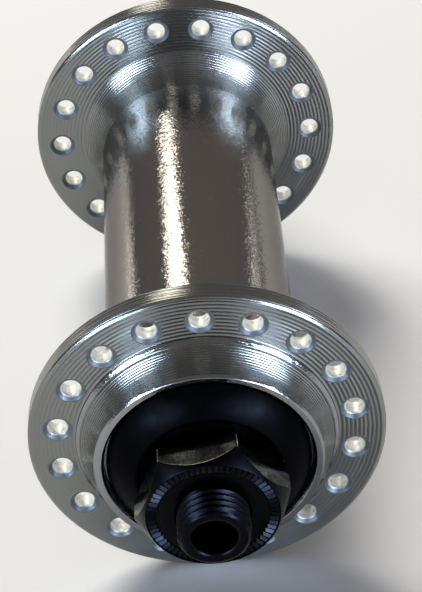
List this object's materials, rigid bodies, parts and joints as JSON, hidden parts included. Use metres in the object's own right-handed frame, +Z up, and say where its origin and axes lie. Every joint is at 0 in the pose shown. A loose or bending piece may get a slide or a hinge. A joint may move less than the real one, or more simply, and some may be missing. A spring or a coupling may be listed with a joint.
{
  "type": "bicycle front hub",
  "caption": "Quick-release bicycle front hub: a drilled-flange alloy shell that turns on caged cup-and-cone ball bearings round a hollow threaded axle with lock nuts.",
  "frame": {"origin": "middle of the hub on the axle's axis, halfway between the lock nuts' faces", "axes": "+Y along the axle towards the right end (-Y is the left end, nearest the camera in the picture); +Z up, through a spoke hole of the left flange; +X completes the frame"},
  "size_m": [0.0454, 0.108, 0.0454],
  "materials": {
    "shell_aluminium": "turned and polished aluminium, satin on the barrel",
    "axle_steel": "black oxide steel with a rolled thread",
    "race_steel": "hardened steel, ground in the grooves",
    "ball_steel": "polished bearing steel",
    "retainer_steel": "pressed sheet steel, yellowed by its plating",
    "shield_steel": "pressed sheet steel, zinc plated",
    "seal_rubber": "black rubber",
    "cap_black": "satin black",
    "washer_steel": "dark oxide steel",
    "nut_black": "semi-gloss black over brushed flats"
  },
  "bodies": {
    "axle_set": {"axle": "axle_steel", "left_cone": "race_steel", "left_seal_ring": "seal_rubber", "left_dust_cap": "cap_black", "left_lock_washer": "washer_steel", "left_lock_nut": "nut_black", "right_cone": "race_steel", "right_seal_ring": "seal_rubber", "right_dust_cap": "cap_black", "right_lock_washer": "washer_steel", "right_lock_nut": "nut_black"},
    "shell": {"hub_shell": "shell_aluminium", "left_bearing_cup": "race_steel", "left_grease_shield": "shield_steel", "right_bearing_cup": "race_steel", "right_grease_shield": "shield_steel"},
    "left_cage": {"left_ball_retainer": "retainer_steel"},
    "right_cage": {"right_ball_retainer": "retainer_steel"},
    "left_ball_1": {"left_ball_1": "ball_steel"},
    "left_ball_2": {"left_ball_2": "ball_steel"},
    "left_ball_3": {"left_ball_3": "ball_steel"},
    "left_ball_4": {"left_ball_4": "ball_steel"},
    "left_ball_5": {"left_ball_5": "ball_steel"},
    "left_ball_6": {"left_ball_6": "ball_steel"},
    "left_ball_7": {"left_ball_7": "ball_steel"},
    "left_ball_8": {"left_ball_8": "ball_steel"},
    "left_ball_9": {"left_ball_9": "ball_steel"},
    "left_ball_10": {"left_ball_10": "ball_steel"},
    "right_ball_1": {"right_ball_1": "ball_steel"},
    "right_ball_2": {"right_ball_2": "ball_steel"},
    "right_ball_3": {"right_ball_3": "ball_steel"},
    "right_ball_4": {"right_ball_4": "ball_steel"},
    "right_ball_5": {"right_ball_5": "ball_steel"},
    "right_ball_6": {"right_ball_6": "ball_steel"},
    "right_ball_7": {"right_ball_7": "ball_steel"},
    "right_ball_8": {"right_ball_8": "ball_steel"},
    "right_ball_9": {"right_ball_9": "ball_steel"},
    "right_ball_10": {"right_ball_10": "ball_steel"}
  },
  "joints": [
    {"name": "shell_spin", "type": "hinge", "parent": "axle_set", "child": "shell", "pos_m": [0, 0, 0], "axis": [0, 1, 0], "continuous": true},
    {"name": "left_cage_spin", "type": "hinge", "parent": "axle_set", "child": "left_cage", "pos_m": [0, 0, 0], "axis": [0, 1, 0], "continuous": true},
    {"name": "right_cage_spin", "type": "hinge", "parent": "axle_set", "child": "right_cage", "pos_m": [0, 0, 0], "axis": [0, 1, 0], "continuous": true},
    {"name": "left_ball_1_roll", "type": "hinge", "parent": "left_cage", "child": "left_ball_1", "pos_m": [0, -0.0354, 0.0085], "axis": [0, -0.7071, 0.7071], "continuous": true},
    {"name": "left_ball_2_roll", "type": "hinge", "parent": "left_cage", "child": "left_ball_2", "pos_m": [-0.005, -0.0354, 0.00688], "axis": [-0.4156, -0.7071, 0.5721], "continuous": true},
    {"name": "left_ball_3_roll", "type": "hinge", "parent": "left_cage", "child": "left_ball_3", "pos_m": [-0.00808, -0.0354, 0.00263], "axis": [-0.6725, -0.7071, 0.2185], "continuous": true},
    {"name": "left_ball_4_roll", "type": "hinge", "parent": "left_cage", "child": "left_ball_4", "pos_m": [-0.00808, -0.0354, -0.00263], "axis": [-0.6725, -0.7071, -0.2185], "continuous": true},
    {"name": "left_ball_5_roll", "type": "hinge", "parent": "left_cage", "child": "left_ball_5", "pos_m": [-0.005, -0.0354, -0.00688], "axis": [-0.4156, -0.7071, -0.5721], "continuous": true},
    {"name": "left_ball_6_roll", "type": "hinge", "parent": "left_cage", "child": "left_ball_6", "pos_m": [0, -0.0354, -0.0085], "axis": [0, -0.7071, -0.7071], "continuous": true},
    {"name": "left_ball_7_roll", "type": "hinge", "parent": "left_cage", "child": "left_ball_7", "pos_m": [0.005, -0.0354, -0.00688], "axis": [0.4156, -0.7071, -0.5721], "continuous": true},
    {"name": "left_ball_8_roll", "type": "hinge", "parent": "left_cage", "child": "left_ball_8", "pos_m": [0.00808, -0.0354, -0.00263], "axis": [0.6725, -0.7071, -0.2185], "continuous": true},
    {"name": "left_ball_9_roll", "type": "hinge", "parent": "left_cage", "child": "left_ball_9", "pos_m": [0.00808, -0.0354, 0.00263], "axis": [0.6725, -0.7071, 0.2185], "continuous": true},
    {"name": "left_ball_10_roll", "type": "hinge", "parent": "left_cage", "child": "left_ball_10", "pos_m": [0.005, -0.0354, 0.00688], "axis": [0.4156, -0.7071, 0.5721], "continuous": true},
    {"name": "right_ball_1_roll", "type": "hinge", "parent": "right_cage", "child": "right_ball_1", "pos_m": [0, 0.0354, 0.0085], "axis": [0, 0.7071, 0.7071], "continuous": true},
    {"name": "right_ball_2_roll", "type": "hinge", "parent": "right_cage", "child": "right_ball_2", "pos_m": [0.005, 0.0354, 0.00688], "axis": [0.4156, 0.7071, 0.5721], "continuous": true},
    {"name": "right_ball_3_roll", "type": "hinge", "parent": "right_cage", "child": "right_ball_3", "pos_m": [0.00808, 0.0354, 0.00263], "axis": [0.6725, 0.7071, 0.2185], "continuous": true},
    {"name": "right_ball_4_roll", "type": "hinge", "parent": "right_cage", "child": "right_ball_4", "pos_m": [0.00808, 0.0354, -0.00263], "axis": [0.6725, 0.7071, -0.2185], "continuous": true},
    {"name": "right_ball_5_roll", "type": "hinge", "parent": "right_cage", "child": "right_ball_5", "pos_m": [0.005, 0.0354, -0.00688], "axis": [0.4156, 0.7071, -0.5721], "continuous": true},
    {"name": "right_ball_6_roll", "type": "hinge", "parent": "right_cage", "child": "right_ball_6", "pos_m": [0, 0.0354, -0.0085], "axis": [0, 0.7071, -0.7071], "continuous": true},
    {"name": "right_ball_7_roll", "type": "hinge", "parent": "right_cage", "child": "right_ball_7", "pos_m": [-0.005, 0.0354, -0.00688], "axis": [-0.4156, 0.7071, -0.5721], "continuous": true},
    {"name": "right_ball_8_roll", "type": "hinge", "parent": "right_cage", "child": "right_ball_8", "pos_m": [-0.00808, 0.0354, -0.00263], "axis": [-0.6725, 0.7071, -0.2185], "continuous": true},
    {"name": "right_ball_9_roll", "type": "hinge", "parent": "right_cage", "child": "right_ball_9", "pos_m": [-0.00808, 0.0354, 0.00263], "axis": [-0.6725, 0.7071, 0.2185], "continuous": true},
    {"name": "right_ball_10_roll", "type": "hinge", "parent": "right_cage", "child": "right_ball_10", "pos_m": [-0.005, 0.0354, 0.00688], "axis": [-0.4156, 0.7071, 0.5721], "continuous": true}
  ],
  "couplings": [
    {"joint": "left_cage_spin", "follows": "shell_spin", "ratio": 0.59905},
    {"joint": "right_cage_spin", "follows": "shell_spin", "ratio": 0.59905},
    {"joint": "left_ball_1_roll", "follows": "shell_spin", "ratio": -1.7147},
    {"joint": "left_ball_2_roll", "follows": "shell_spin", "ratio": -1.7147},
    {"joint": "left_ball_3_roll", "follows": "shell_spin", "ratio": -1.7147},
    {"joint": "left_ball_4_roll", "follows": "shell_spin", "ratio": -1.7147},
    {"joint": "left_ball_5_roll", "follows": "shell_spin", "ratio": -1.7147},
    {"joint": "left_ball_6_roll", "follows": "shell_spin", "ratio": -1.7147},
    {"joint": "left_ball_7_roll", "follows": "shell_spin", "ratio": -1.7147},
    {"joint": "left_ball_8_roll", "follows": "shell_spin", "ratio": -1.7147},
    {"joint": "left_ball_9_roll", "follows": "shell_spin", "ratio": -1.7147},
    {"joint": "left_ball_10_roll", "follows": "shell_spin", "ratio": -1.7147},
    {"joint": "right_ball_1_roll", "follows": "shell_spin", "ratio": 1.7147},
    {"joint": "right_ball_2_roll", "follows": "shell_spin", "ratio": 1.7147},
    {"joint": "right_ball_3_roll", "follows": "shell_spin", "ratio": 1.7147},
    {"joint": "right_ball_4_roll", "follows": "shell_spin", "ratio": 1.7147},
    {"joint": "right_ball_5_roll", "follows": "shell_spin", "ratio": 1.7147},
    {"joint": "right_ball_6_roll", "follows": "shell_spin", "ratio": 1.7147},
    {"joint": "right_ball_7_roll", "follows": "shell_spin", "ratio": 1.7147},
    {"joint": "right_ball_8_roll", "follows": "shell_spin", "ratio": 1.7147},
    {"joint": "right_ball_9_roll", "follows": "shell_spin", "ratio": 1.7147},
    {"joint": "right_ball_10_roll", "follows": "shell_spin", "ratio": 1.7147}
  ]
}
